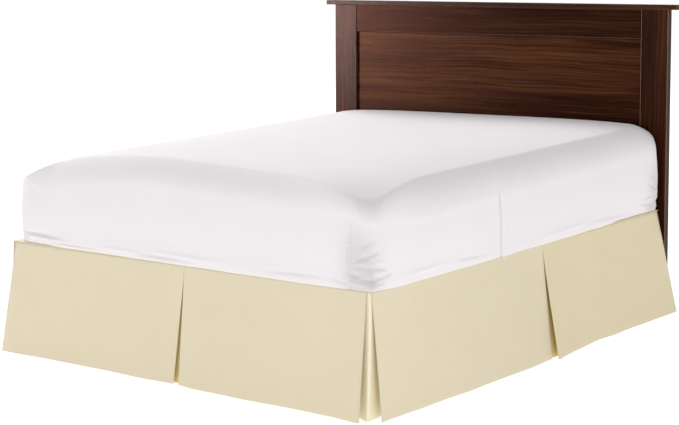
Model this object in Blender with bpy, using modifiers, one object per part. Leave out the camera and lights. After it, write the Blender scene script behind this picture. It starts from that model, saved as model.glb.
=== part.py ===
# A tailored bed skirt on its bed: a deck under the mattress, three drops with a pleat in the
# middle of each, and a cloth underlay behind each corner at the foot.
# Metres. The foot of the bed looks to -Y, the headboard stands at +Y, the floor is Z = 0.
import math

import bpy
import bmesh
from mathutils import Vector

BED_WIDTH = 1.500
BED_LENGTH = 1.900
HALF_WIDTH = BED_WIDTH / 2
FOOT_Y = -0.9472            # foot edge of the deck; it centres the whole part on the origin
SEAT = 0.0003               # gap between two pieces that touch
CLOTH = 0.0015              # thickness of the skirt's cloth

DECK_TOP = 0.386
DECK_LAP = 0.0025           # how far the deck reaches past the seam line of the drops
BASE_TOP = DECK_TOP - CLOTH - SEAT
DROP_TOP = BASE_TOP - SEAT
HEM_Z = 0.005
DROP_ROWS = 10

FOLD_RADIUS = 0.0016        # middle of the cloth where it turns back
PLEAT_DEPTH = 0.075         # how far each pleat reaches behind its panels
PLEAT_CLOSED = 0.005        # space between the two folded edges where they are stitched
STITCHED_PART = 0.09        # share of the drop over which a pleat is stitched shut
PANEL_STEPS = 9
RETURN_STEPS = 3
BACK_STEPS = 6
TURN_STEPS = 4

# Each drop: where its ends and its pleat are along the bed's edge, at the seam and at the hem,
# how wide the pleat opens, how far its back layer hangs behind, and how far the hem stands out.
FOOT_DROP = {
    "start": (-0.738, -0.777),
    "end": (0.732, 0.738),
    "pleat": (0.030, 0.012),
    "opening": 0.027,
    "back": 0.024,
    "hem_left": [(-0.777, 0.040), (-0.550, 0.030), (-0.330, 0.030), (-0.110, 0.034), (-0.002, 0.028)],
    "hem_right": [(0.026, 0.030), (0.100, 0.040), (0.300, 0.044), (0.470, 0.036), (0.610, 0.040),
                  (0.734, 0.050)],
}
RIGHT_DROP = {
    "start": (0.001, 0.001),
    "end": (1.890, 1.885),
    "pleat": (1.000, 0.958),
    "opening": 0.007,
    "back": 0.017,
    "hem_left": [(0.000, 0.037), (0.250, 0.049), (0.510, 0.061), (0.800, 0.071), (0.955, 0.067)],
    "hem_right": [(0.962, 0.092), (1.020, 0.084), (1.110, 0.077), (1.250, 0.070), (1.450, 0.074),
                  (1.650, 0.081), (1.885, 0.090)],
}
LEFT_DROP = {
    "start": (0.001, 0.001),
    "end": (1.890, 1.885),
    "pleat": (0.950, 0.950),
    "opening": 0.020,
    "back": 0.020,
    "hem_left": [(0.000, 0.028), (0.300, 0.036), (0.600, 0.047), (0.940, 0.050)],
    "hem_right": [(0.960, 0.056), (1.100, 0.052), (1.350, 0.055), (1.600, 0.070), (1.885, 0.092)],
}

# Corner underlays: plan points (along the foot edge from the corner, inward; outward past it)
# from the end behind the foot drop, round the ridge, to the end behind the side drop.
UNDERLAY_REACH = 0.120
UNDERLAY_SET_BACK = 0.0032
UNDERLAY_TOP = DROP_TOP
UNDERLAY_HEM_Z = 0.007
UNDERLAY_STEPS = 5
UNDERLAY_BENDS = (0.043, 0.040)     # how far from the corner it leaves the foot's and the side's line
UNDERLAY_CORNERS = {
    "corner_underlay_right": {"ridge": (0.007, 0.033), "foot_side": 0.006, "long_side": 0.000},
    "corner_underlay_left": {"ridge": (0.007, 0.020), "foot_side": 0.006, "long_side": 0.000},
}

MATTRESS_HALF_WIDTH = 0.750
MATTRESS_LEFT_RIM = (0.6286, 0.6910)    # height of the top's edge at the foot and at the head
MATTRESS_RIGHT_RIM = (0.6515, 0.7059)
MATTRESS_CROWN = (0.0478, 0.0172)       # how far the middle stands above the edges, at the foot and at the head
MATTRESS_CROWN_POWER = 5.0
MATTRESS_CORNER_SAGS = [(-1, 0.043), (1, 0.026)]    # how much lower the foot's left and right corner is
MATTRESS_SAG_REACH = 0.140
MATTRESS_SAG_POWER = 1.9
# how high the foot's edge is drawn up, at which place, and how widely across and along
MATTRESS_FOOT_RISE = (0.026, -0.143, 0.339, 0.193)
# how far in and how far down the top rolls over each side
MATTRESS_ROLLS = {"right": (0.066, 0.112), "foot": (0.060, 0.100), "left": (0.066, 0.112), "head": (0.040, 0.050)}
MATTRESS_ROLL_POWER = 1.5   # 1 rolls over in an ellipse, more begins it at the top with an edge
MATTRESS_ROLL_KEPT = (0.05, 0.75)       # share of the roll left at the foot's left and right corner
MATTRESS_ROLL_REACH = (0.040, 0.155)    # distances from a corner where the roll begins to widen and is full
# the sides that a corner joins, its signs, and its plan radius low on the side and at the top
MATTRESS_CORNERS = [("right", "foot", (1, -1), (0.055, 0.089)), ("foot", "left", (-1, -1), (0.082, 0.089)),
                    ("left", "head", (-1, 1), (0.030, 0.045)), ("head", "right", (1, 1), (0.030, 0.045))]
MATTRESS_BULGE = 0.006      # how far the sides swell at half height
MATTRESS_LOW_EDGE = 0.006
MATTRESS_TOP_RINGS = (0.080, 0.220, 0.400)      # insets of the top's rings from where it begins to roll over
MATTRESS_UNDER_RINGS = (0.250,)
OUTLINE_ARC_STEPS = 5
OUTLINE_SIDE_SHARES = (0.04, 0.09, 0.16, 0.32, 0.50, 0.68, 0.84, 0.91, 0.96)
EDGE_STEPS = 7
LOW_EDGE_STEPS = 2
SIDE_STEPS = 3

BASE_INSET = 0.0095         # room between the base and the drops for the pleats' layers
BASE_BOTTOM = 0.190
BASE_EDGE = 0.006
LEG_SIDE = 0.060
LEG_X = 0.670
LEG_ROWS = (0.080, 0.940, 1.800)

HEAD_PLANE = 0.003          # front of the headboard past the head end of the bed
POST_OUTER = 0.779
POST_WIDTH = 0.112
POST_THICK = 0.030
CAP_HALF_LENGTH = 0.818
CAP_THICK = 0.019
CAP_OVERHANG = 0.012
HEAD_TOP = 1.1675
TOP_RAIL_HEIGHT = 0.113
PANEL_BOTTOM = 0.460
PANEL_THICK = 0.012
PANEL_RECESS = 0.012
LOW_RAIL_BOTTOM = 0.230
WOOD_EDGE = 0.0015

# Colours are linear values of the photographed surfaces.
MATERIALS = {
    "skirt_cotton": {"color": (0.730, 0.650, 0.470), "roughness": 0.90, "metallic": 0.0},
    "white_sheet": {"color": (0.840, 0.810, 0.830), "roughness": 0.90, "metallic": 0.0},
    "dark_walnut": {"color": (0.055, 0.024, 0.016), "roughness": 0.35, "metallic": 0.0},
    "base_cloth": {"color": (0.640, 0.610, 0.560), "roughness": 0.95, "metallic": 0.0},
    "leg_wood": {"color": (0.060, 0.035, 0.022), "roughness": 0.50, "metallic": 0.0},
}


def clear_scene():
    for item in list(bpy.data.objects):
        bpy.data.objects.remove(item, do_unlink=True)


def make_material(name):
    look = MATERIALS[name]
    material = bpy.data.materials.new(name)
    material.use_nodes = True
    shader = material.node_tree.nodes["Principled BSDF"]
    shader.inputs["Base Color"].default_value = (*look["color"], 1.0)
    shader.inputs["Roughness"].default_value = look["roughness"]
    shader.inputs["Metallic"].default_value = look["metallic"]
    material.diffuse_color = (*look["color"], 1.0)
    return material


def add_object(name, bm, material, collection):
    bmesh.ops.recalc_face_normals(bm, faces=bm.faces)
    mesh = bpy.data.meshes.new(name)
    bm.to_mesh(mesh)
    bm.free()
    mesh.materials.append(material)
    piece = bpy.data.objects.new(name, mesh)
    collection.objects.link(piece)
    return piece


def blend(first, last, share):
    return first + (last - first) * share


def soft(share):
    """A share from 0 to 1 made to start and end gently."""
    return share * share * (3 - 2 * share)


def read_table(table, position):
    """The value at a position between two rows of a table, with a soft ramp."""
    if position <= table[0][0]:
        return table[0][1]
    for (before, low), (after, high) in zip(table, table[1:]):
        if position <= after:
            return blend(low, high, soft((position - before) / (after - before)))
    return table[-1][1]


def even_steps(first, last, steps, with_last):
    count = steps + 1 if with_last else steps
    return [blend(first, last, i / steps) for i in range(count)]


def half_turn(along, start_out, end_out, bulge):
    """Plan points of a fold that leaves one layer and enters the next, its ends left out."""
    middle = (start_out + end_out) / 2
    radius = (start_out - end_out) / 2
    points = []
    for i in range(1, TURN_STEPS):
        angle = math.pi * i / TURN_STEPS
        points.append((along + bulge * abs(radius) * math.sin(angle), middle + radius * math.cos(angle)))
    return points


def pleated_path(drop, fall):
    """Plan points (along, out) of a drop's cloth; fall is 0 at the seam and 1 at the hem."""
    start, end, pleat = (blend(*drop[key], fall) for key in ("start", "end", "pleat"))
    opened = max(0.0, fall - STITCHED_PART) / (1 - STITCHED_PART)
    gap = blend(PLEAT_CLOSED, max(drop["opening"], PLEAT_CLOSED), opened)
    left_edge = pleat - gap / 2
    right_edge = pleat + gap / 2
    layer = 2 * FOLD_RADIUS

    def out_left(along):
        return fall * read_table(drop["hem_left"], along)

    def out_right(along):
        return fall * read_table(drop["hem_right"], along)

    back_left = left_edge - PLEAT_DEPTH
    back_right = right_edge + PLEAT_DEPTH
    behind = 2 * layer + fall * max(0.0, drop["back"] - 2 * layer)

    def out_back(along):
        share = (along - back_left) / (back_right - back_left)
        return blend(out_left(back_left), out_right(back_right), share) - behind

    path = [(a, out_left(a)) for a in even_steps(start, left_edge, PANEL_STEPS, True)]
    front, rear = out_left(left_edge) - layer, out_back(back_left) + layer
    path += half_turn(left_edge, out_left(left_edge), front, 1)
    path += [(blend(left_edge, back_left, s), blend(front, rear, s)) for s in even_steps(0, 1, RETURN_STEPS, True)]
    path += half_turn(back_left, rear, out_back(back_left), -1)
    path += [(a, out_back(a)) for a in even_steps(back_left, back_right, BACK_STEPS, True)]
    front, rear = out_right(right_edge) - layer, out_back(back_right) + layer
    path += half_turn(back_right, out_back(back_right), rear, 1)
    path += [(blend(back_right, right_edge, s), blend(rear, front, s)) for s in even_steps(0, 1, RETURN_STEPS, True)]
    path += half_turn(right_edge, front, out_right(right_edge), -1)
    path += [(a, out_right(a)) for a in even_steps(right_edge, end, PANEL_STEPS, True)]
    return path


def place_foot(along, out, height):
    return Vector((along, FOOT_Y - out, height))


def place_right(along, out, height):
    return Vector((HALF_WIDTH + out, FOOT_Y + along, height))


def place_left(along, out, height):
    return Vector((-HALF_WIDTH - out, FOOT_Y + along, height))


def cloth_sheet(name, paths, heights, place, material, collection):
    """One cloth through a plan path for each height, thickened evenly to both sides."""
    columns = len(paths[0]) - 1
    rows = len(paths) - 1
    bm = bmesh.new()
    bmesh.ops.create_grid(bm, x_segments=columns, y_segments=rows, size=1)
    for vert in bm.verts:
        column = round((vert.co.x + 1) / 2 * columns)
        row = round((vert.co.y + 1) / 2 * rows)
        along, out = paths[row][column]
        vert.co = place(along, out, heights[row])
    piece = add_object(name, bm, material, collection)
    shell = piece.modifiers.new("cloth", "SOLIDIFY")
    shell.thickness = CLOTH
    shell.offset = 0
    shell.use_even_offset = True
    return piece


def make_drop(name, drop, place, material, collection):
    falls = even_steps(0, 1, DROP_ROWS, True)
    paths = [pleated_path(drop, fall) for fall in falls]
    heights = [blend(DROP_TOP, HEM_Z, fall) for fall in falls]
    return cloth_sheet(name, paths, heights, place, material, collection)


def underlay_path(shape, fall):
    """Plan points (inward from the corner along the foot, out past the foot edge) of an underlay."""
    ridge_side, ridge_foot = shape["ridge"]
    back = -UNDERLAY_SET_BACK
    foot_out = blend(back, shape["foot_side"], fall)
    side_out = blend(back, shape["long_side"], fall)
    ridge = (blend(back, ridge_side, fall), blend(back, ridge_foot, fall))
    bend_foot = (-UNDERLAY_BENDS[0], foot_out)
    bend_side = (side_out, -UNDERLAY_BENDS[1])
    start = (-UNDERLAY_REACH, foot_out)
    end = (side_out, -UNDERLAY_REACH)
    corners = [start, bend_foot, ridge, bend_side, end]
    path = []
    for (x_a, y_a), (x_b, y_b) in zip(corners, corners[1:]):
        path += [(blend(x_a, x_b, s), blend(y_a, y_b, s)) for s in even_steps(0, 1, UNDERLAY_STEPS, False)]
    path.append(end)
    return path


def make_underlay(name, side, material, collection):
    falls = even_steps(0, 1, DROP_ROWS, True)
    paths = [underlay_path(UNDERLAY_CORNERS[name], fall) for fall in falls]
    heights = [blend(UNDERLAY_TOP, UNDERLAY_HEM_Z, fall) for fall in falls]

    def place_corner(past_side, past_foot, height):
        return Vector((side * (HALF_WIDTH + past_side), FOOT_Y - past_foot, height))

    return cloth_sheet(name, paths, heights, place_corner, material, collection)


def box_mesh(low, high):
    bm = bmesh.new()
    bmesh.ops.create_cube(bm, size=1)
    for vert in bm.verts:
        vert.co = Vector([blend(a, b, c + 0.5) for a, b, c in zip(low, high, vert.co)])
    return bm


def add_box(name, low, high, material, collection, edge=0.0, segments=2):
    piece = add_object(name, box_mesh(low, high), material, collection)
    if edge:
        bevel = piece.modifiers.new("edge", "BEVEL")
        bevel.width = edge
        bevel.segments = segments
    return piece


def make_deck(material, collection):
    low = (-HALF_WIDTH - DECK_LAP, FOOT_Y - DECK_LAP, DECK_TOP - CLOTH)
    high = (HALF_WIDTH + DECK_LAP, FOOT_Y + BED_LENGTH - DECK_LAP, DECK_TOP)
    return add_box("deck", low, high, material, collection)


def plain_outline(rolled, inset):
    """Plan points (x, y, height of the roll) of a mattress whose corners roll over as widely as its sides.

    They run clockwise from its right foot corner. The share rolled is 0 at the side and 1 where the
    roll meets the top.
    """
    reach = {side: MATTRESS_HALF_WIDTH for side in ("right", "left")}
    reach.update({side: BED_LENGTH / 2 - SEAT for side in ("foot", "head")})
    reach = {side: full - inset - rolled * MATTRESS_ROLLS[side][0] for side, full in reach.items()}
    points = []
    for corner, (before, after, (side_x, side_y), radii) in enumerate(MATTRESS_CORNERS):
        radius = max(blend(*radii, rolled) - inset, SEAT)
        centre_x = side_x * (reach["right"] - radius)
        centre_y = FOOT_Y + BED_LENGTH / 2 + side_y * (reach["foot" if side_y < 0 else "head"] - radius)
        for share in even_steps(0, 1, OUTLINE_ARC_STEPS, True):
            angle = -math.pi / 2 * (corner + share)
            roll = blend(MATTRESS_ROLLS[before][1], MATTRESS_ROLLS[after][1], soft(share))
            points.append((centre_x + radius * math.cos(angle), centre_y + radius * math.sin(angle), roll))
    outline = []
    arc = OUTLINE_ARC_STEPS + 1
    for i, point in enumerate(points):
        outline.append(point)
        if i % arc == arc - 1:
            after = points[(i + 1) % len(points)]
            for share in OUTLINE_SIDE_SHARES:
                outline.append(tuple(blend(a, b, share) for a, b in zip(point, after)))
    return outline


def mattress_outline(rolled, inset):
    outline = []
    begins, full = MATTRESS_ROLL_REACH
    for low, high in zip(plain_outline(0, inset), plain_outline(1, inset)):
        away = math.hypot(MATTRESS_HALF_WIDTH - abs(low[0]), low[1] - FOOT_Y)
        at_corner = MATTRESS_ROLL_KEPT[0 if low[0] < 0 else 1]
        kept = blend(at_corner, 1, soft(min(1.0, max(0.0, (away - begins) / (full - begins)))))
        x, y = (blend(low[axis], high[axis], rolled * kept) for axis in (0, 1))
        outline.append((x, y, low[2] * kept))
    return outline


def mattress_top(x, y):
    along = y - FOOT_Y
    side = x / MATTRESS_HALF_WIDTH
    rims = [blend(*rim, along / BED_LENGTH) for rim in (MATTRESS_LEFT_RIM, MATTRESS_RIGHT_RIM)]
    dome = max(0.0, 1 - abs(side) ** MATTRESS_CROWN_POWER)
    height = blend(*rims, (side + 1) / 2) + dome * blend(*MATTRESS_CROWN, soft(along / BED_LENGTH))
    for sign, sag in MATTRESS_CORNER_SAGS:
        away = math.hypot(x - sign * MATTRESS_HALF_WIDTH, along)
        height -= sag * math.exp(-(away / MATTRESS_SAG_REACH) ** MATTRESS_SAG_POWER)
    rise, middle, width, reach = MATTRESS_FOOT_RISE
    return height + rise * math.exp(-((x - middle) / width) ** 2 - (along / reach) ** 2)


def mattress_rings():
    """Rows of (share rolled, inset, share of the side's height, height over the underside), upwards.

    Rows on the roll have a side's share of 1 and, last, the share of the roll's height left above them.
    """
    rings = [(0, inset, 0, 0) for inset in reversed(MATTRESS_UNDER_RINGS)]
    for angle in even_steps(0, math.pi / 2, LOW_EDGE_STEPS, True):
        rings.append((0, MATTRESS_LOW_EDGE * (1 - math.sin(angle)), 0, MATTRESS_LOW_EDGE * (1 - math.cos(angle))))
    for share in even_steps(0, 1, SIDE_STEPS, False)[1:]:
        rings.append((0, -MATTRESS_BULGE * math.sin(math.pi * share), share, 0))
    for angle in even_steps(0, math.pi / 2, EDGE_STEPS, True):
        rings.append((1 - math.cos(angle) ** MATTRESS_ROLL_POWER, 0, 1, 1 - math.sin(angle)))
    return rings + [(1, inset, 1, 0) for inset in MATTRESS_TOP_RINGS]


def make_mattress(material, collection):
    """A rounded box on the rings and poles of a sphere, with a crowned top."""
    rings = mattress_rings()
    outlines = [mattress_outline(rolled, inset) for rolled, inset, _, _ in rings]
    columns = len(outlines[0])
    under = DECK_TOP + SEAT
    bm = bmesh.new()
    bmesh.ops.create_uvsphere(bm, u_segments=columns, v_segments=len(rings) + 1, radius=1)
    for vert in bm.verts:
        latitude = math.asin(max(-1.0, min(1.0, vert.co.z)))
        row = round((latitude / math.pi + 0.5) * (len(rings) + 1)) - 1
        if row in (-1, len(rings)):
            middle = (0, FOOT_Y + BED_LENGTH / 2)
            vert.co = Vector((*middle, under if row < 0 else mattress_top(*middle)))
            continue
        column = round(math.atan2(vert.co.y, vert.co.x) / (2 * math.pi) * columns) % columns
        _, _, share, rest = rings[row]
        x, y, roll = outlines[row][-column]
        y = min(y, FOOT_Y + BED_LENGTH - SEAT)
        top = mattress_top(x, y)
        if share == 0:
            height = under + rest
        elif share < 1:
            height = blend(under + MATTRESS_LOW_EDGE, top - roll, share)
        else:
            height = top - roll * rest
        vert.co = Vector((x, y, height))
    return add_object("mattress", bm, material, collection)


def make_base(material, collection):
    low = (-HALF_WIDTH + BASE_INSET, FOOT_Y + BASE_INSET, BASE_BOTTOM)
    high = (HALF_WIDTH - BASE_INSET, FOOT_Y + BED_LENGTH + HEAD_PLANE - SEAT, BASE_TOP)
    return add_box("base", low, high, material, collection, edge=BASE_EDGE)


def make_legs(material, collection):
    for row, along in enumerate(LEG_ROWS, start=1):
        for name, side in (("left", -1), ("right", 1)):
            middle = (side * LEG_X, FOOT_Y + along)
            low = (middle[0] - LEG_SIDE / 2, middle[1] - LEG_SIDE / 2, 0)
            high = (middle[0] + LEG_SIDE / 2, middle[1] + LEG_SIDE / 2, BASE_BOTTOM - SEAT)
            add_box(f"leg_{name}_{row}", low, high, material, collection)


def make_headboard(material, collection):
    front = FOOT_Y + BED_LENGTH + HEAD_PLANE
    back = front + POST_THICK
    cap_bottom = HEAD_TOP - CAP_THICK
    post_inner = POST_OUTER - POST_WIDTH
    rail_bottom = cap_bottom - TOP_RAIL_HEIGHT
    inner = post_inner - SEAT

    def add_wood(name, low, high):
        add_box(name, low, high, material, collection, edge=WOOD_EDGE)

    add_wood("headboard_post_left", (-POST_OUTER, front, 0), (-post_inner, back, cap_bottom - SEAT))
    add_wood("headboard_post_right", (post_inner, front, 0), (POST_OUTER, back, cap_bottom - SEAT))
    add_wood("headboard_cap", (-CAP_HALF_LENGTH, front - CAP_OVERHANG, cap_bottom),
             (CAP_HALF_LENGTH, back + CAP_OVERHANG, HEAD_TOP))
    add_wood("headboard_top_rail", (-inner, front, rail_bottom), (inner, back, cap_bottom - SEAT))
    add_wood("headboard_panel", (-inner, front + PANEL_RECESS, PANEL_BOTTOM + SEAT),
             (inner, front + PANEL_RECESS + PANEL_THICK, rail_bottom - SEAT))
    add_wood("headboard_low_rail", (-inner, front, LOW_RAIL_BOTTOM), (inner, back, PANEL_BOTTOM))


def main():
    clear_scene()
    collection = bpy.data.collections.new("bed_skirt")
    bpy.context.scene.collection.children.link(collection)
    materials = {name: make_material(name) for name in MATERIALS}
    skirt = materials["skirt_cotton"]
    make_deck(skirt, collection)
    make_drop("foot_drop", FOOT_DROP, place_foot, skirt, collection)
    make_drop("side_drop_right", RIGHT_DROP, place_right, skirt, collection)
    make_drop("side_drop_left", LEFT_DROP, place_left, skirt, collection)
    make_underlay("corner_underlay_right", 1, skirt, collection)
    make_underlay("corner_underlay_left", -1, skirt, collection)
    make_mattress(materials["white_sheet"], collection)
    make_base(materials["base_cloth"], collection)
    make_legs(materials["leg_wood"], collection)
    make_headboard(materials["dark_walnut"], collection)


main()
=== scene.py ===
from math import cos, exp, hypot, pi, radians, sin

import bpy
import bmesh
from mathutils import Matrix, Vector


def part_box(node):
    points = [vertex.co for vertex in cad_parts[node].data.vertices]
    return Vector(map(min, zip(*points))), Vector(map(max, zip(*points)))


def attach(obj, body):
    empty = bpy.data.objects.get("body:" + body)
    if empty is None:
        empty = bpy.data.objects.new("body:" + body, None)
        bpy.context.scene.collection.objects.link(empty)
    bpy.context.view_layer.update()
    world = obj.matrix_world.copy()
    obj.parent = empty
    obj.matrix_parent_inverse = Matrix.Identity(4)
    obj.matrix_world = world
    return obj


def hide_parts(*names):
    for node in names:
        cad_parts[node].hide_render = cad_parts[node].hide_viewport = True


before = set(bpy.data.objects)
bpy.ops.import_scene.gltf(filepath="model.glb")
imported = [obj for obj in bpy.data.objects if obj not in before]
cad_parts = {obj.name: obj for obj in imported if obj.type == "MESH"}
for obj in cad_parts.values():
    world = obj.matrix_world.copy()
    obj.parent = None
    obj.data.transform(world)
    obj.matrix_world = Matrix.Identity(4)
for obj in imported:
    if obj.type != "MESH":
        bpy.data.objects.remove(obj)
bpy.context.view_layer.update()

scene = bpy.context.scene

# metres; the foot of the bed looks to -Y, the headboard stands at +Y
bed = {
    "halfWidth": 0.750,
    "length": 1.900,
    "footY": -0.9472,
    "seamZ": 0.3839,  # where the drops hang from the deck's edge
    "hemZ": 0.005,
    "deckTop": 0.386,
    "gap": 0.0003,
}


# small helpers
def blend(first, last, share):
    return first + (last - first) * share


def soft(share):
    share = min(1.0, max(0.0, share))
    return share * share * (3 - 2 * share)


def bell(distance, width):
    return exp(-(distance / width) ** 2)


def readTable(table, position):
    if position <= table[0][0]:
        return table[0][1]
    for (before, low), (after, high) in zip(table, table[1:]):
        if position <= after:
            return blend(low, high, soft((position - before) / (after - before)))
    return table[-1][1]


def evenSteps(first, last, steps, withLast=True):
    return [blend(first, last, i / steps) for i in range(steps + 1 if withLast else steps)]


# a line's places, closer together near both ends
def stepsFineAtEnds(first, last, fine, coarse, reach):
    length = last - first
    count = max(2, round((length - 2 * reach) / coarse))
    near = max(1, round(reach / fine))
    line = evenSteps(first, first + reach, near, False)
    line += evenSteps(first + reach, last - reach, count, False)
    return line + evenSteps(last - reach, last, near)


def newPiece(name, bm, finish):
    mesh = bpy.data.meshes.new(name)
    bm.to_mesh(mesh)
    bm.free()
    mesh.materials.append(finish)
    for face in mesh.polygons:
        face.use_smooth = True
    piece = bpy.data.objects.new(name, mesh)
    scene.collection.objects.link(piece)
    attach(piece, "root")
    return piece


# material tools
class Wire:
    def __init__(self, finish, socket):
        self.finish = finish
        self.socket = socket

    def out(self, name):
        return Wire(self.finish, self.socket.node.outputs[name])

    def maths(self, operation, *inputs):
        return self.finish.node("ShaderNodeMath", {"operation": operation}, dict(enumerate(inputs)))

    def __add__(self, other):
        return self.maths("ADD", self, other)

    def __radd__(self, other):
        return self.maths("ADD", other, self)

    def __sub__(self, other):
        return self.maths("SUBTRACT", self, other)

    def __rsub__(self, other):
        return self.maths("SUBTRACT", other, self)

    def __mul__(self, other):
        return self.maths("MULTIPLY", self, other)

    def __rmul__(self, other):
        return self.maths("MULTIPLY", other, self)

    def __truediv__(self, other):
        return self.maths("DIVIDE", self, other)

    def __rtruediv__(self, other):
        return self.maths("DIVIDE", other, self)

    def sine(self):
        return self.maths("SINE", self)

    def size(self):
        return self.maths("ABSOLUTE", self)

    def least(self, other):
        return self.maths("MINIMUM", self, other)

    def most(self, other):
        return self.maths("MAXIMUM", self, other)

    def within(self, low, high):
        return self.finish.node("ShaderNodeClamp", {}, {"Value": self, "Min": low, "Max": high})


class Finish:
    def __init__(self, name):
        self.material = bpy.data.materials.new(name)
        self.material.use_nodes = True
        self.tree = self.material.node_tree
        self.shader = self.tree.nodes["Principled BSDF"]

    def node(self, kind, settings, inputs, output=0):
        made = self.tree.nodes.new(kind)
        for key, value in settings.items():
            if key == "stops":
                elements = made.color_ramp.elements
                while len(elements) < len(value):
                    elements.new(1.0)
                for element, (position, colour) in zip(elements, value):
                    element.position = position
                    element.color = (*colour, 1.0)
            else:
                setattr(made, key, value)
        for key, value in inputs.items():
            self.feed(made.inputs[key], value)
        return Wire(self, made.outputs[output])

    def feed(self, socket, value):
        if isinstance(value, Wire):
            self.tree.links.new(value.socket, socket)
        elif isinstance(value, tuple) and len(value) == 3 and socket.type == "RGBA":
            socket.default_value = (*value, 1.0)
        else:
            socket.default_value = value

    def mixColours(self, share, first, second, way="MIX"):
        settings = {"data_type": "RGBA", "blend_type": way}
        return self.node("ShaderNodeMix", settings, {0: share, 6: first, 7: second}, 2)

    def noise(self, place, scale=1.0, detail=2.0, roughness=0.5):
        inputs = {"Vector": place, "Scale": scale, "Detail": detail, "Roughness": roughness}
        return self.node("ShaderNodeTexNoise", {}, inputs)

    def stretched(self, place, scale, move=(0, 0, 0)):
        return self.node("ShaderNodeMapping", {}, {"Vector": place, "Location": move, "Scale": scale})

    def placeFrom(self, output):
        return self.node("ShaderNodeTexCoord", {}, {}, output)

    def parts(self, place):
        return self.node("ShaderNodeSeparateXYZ", {}, {0: place})

    def set(self, **sockets):
        for name, value in sockets.items():
            self.feed(self.shader.inputs[name.replace("_", " ")], value)


# woven cotton: what all the cloths share
weave = {
    "drift": 9.0,  # slow changes of tone, in a metre
    "slubs": ((14.0, 900.0, 1.0), (1100.0, 12.0, 1.0)),  # thick places of the threads along and up
    "wander": 3.0,  # how far the threads run out of line
    "toneShares": (0.55, 1.1, 0.25, 0.62),  # drift, slubs and threads, and the middle tone
    "slubHeight": 0.8,
    "bump": 0.6,
    "threadPolish": 0.06,
    "sheenRoughness": 0.5,
    "gloss": 0.15,
}
skirtCloth = {
    "colour": (0.800, 0.714, 0.532),
    "shade": (0.735, 0.642, 0.450),
    "foldShadeTone": (1.03, 0.98, 0.66),  # painted shade: deep in a fold the cloth looks darker and warmer, as it lights itself
    "thread": 0.00048,
    "weaveHeight": 0.00010,
    "roughness": 0.92,
    "sheen": 0.12,
    "hemStitch": {"up": 0.025, "width": 0.0007, "length": 0.009, "tone": 0.25, "sunk": 1.5},
}
sheetCloth = {
    "colour": (0.880, 0.842, 0.856),
    "shade": (0.838, 0.797, 0.812),
    # painted shade in the sheet's folds, troughs and beside its corner seams
    "foldShadeTone": (0.78, 0.775, 0.775),
    "thread": 0.00034,
    "weaveHeight": 0.00005,
    "roughness": 0.90,
    "sheen": 0.10,
}
baseCloth = {
    "colour": (0.640, 0.610, 0.560),
    "shade": (0.560, 0.530, 0.480),
    "foldShadeTone": (1.0, 1.0, 1.0),
    "thread": 0.0011,
    "weaveHeight": 0.00025,
    "roughness": 0.95,
    "sheen": 0.10,
}


def wovenFinish(name, look, onSurface=True):
    finish = Finish(name)
    if onSurface:
        place = finish.node("ShaderNodeUVMap", {"uv_map": "cloth"}, {})
    else:
        part = finish.parts(finish.placeFrom("Object"))
        turn = finish.parts(finish.placeFrom("Normal"))
        sideways = turn.size()
        upward = turn.out("Z").size()
        along = part * (1 - sideways) + part.out("Y") * sideways
        up = part.out("Z") * (1 - upward) + part.out("Y") * upward
        place = finish.node("ShaderNodeCombineXYZ", {}, {0: along, 1: up})
    drift = finish.noise(place, weave["drift"], 3.0)
    slubs, slubsUp = (finish.noise(finish.stretched(place, scale)) for scale in weave["slubs"])
    spot = finish.parts(place)
    wander = (drift - 0.5) * weave["wander"]
    turns = pi / look["thread"]
    warp = (spot * turns + wander).sine()
    weft = (spot.out("Y") * turns + wander).sine()
    cross = warp * weft * 0.5
    threads = (warp.size() * (cross + 0.5)).most(weft.size() * (0.5 - cross))
    uneven = (slubs + slubsUp) * 0.5
    ofDrift, ofSlubs, ofThreads, middle = weave["toneShares"]
    tone = (drift - 0.5) * ofDrift + (uneven - 0.5) * ofSlubs + threads * ofThreads + middle
    colour = finish.mixColours(tone.within(0.0, 1.0), look["shade"], look["colour"])
    # painted shade: where the fold layer is set, the colour is multiplied by the fold shade tone
    paintedFoldShade = finish.node("ShaderNodeAttribute", {"attribute_name": "fold"}, {}, "Fac")
    colour = finish.mixColours(paintedFoldShade, colour, finish.mixColours(1.0, colour, look["foldShadeTone"], "MULTIPLY"))
    height = threads + uneven * weave["slubHeight"]
    if "hemStitch" in look:
        row = look["hemStitch"]
        line = (1 - (spot.out("Y") - row["up"]).size() / row["width"]).within(0.0, 1.0)
        dash = (spot * (2 * pi / row["length"])).sine().within(0.0, 1.0)
        stitch = line * dash
        colour = finish.mixColours(stitch * row["tone"], colour, look["shade"])
        height = height - stitch * row["sunk"]
    bump = finish.node("ShaderNodeBump", {}, {
        "Strength": weave["bump"], "Distance": look["weaveHeight"], "Height": height})
    finish.set(Base_Color=colour, Roughness=look["roughness"] - threads * weave["threadPolish"],
               Normal=bump, Sheen_Weight=look["sheen"], Sheen_Roughness=weave["sheenRoughness"],
               Specular_IOR_Level=weave["gloss"])
    return finish.material


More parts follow.
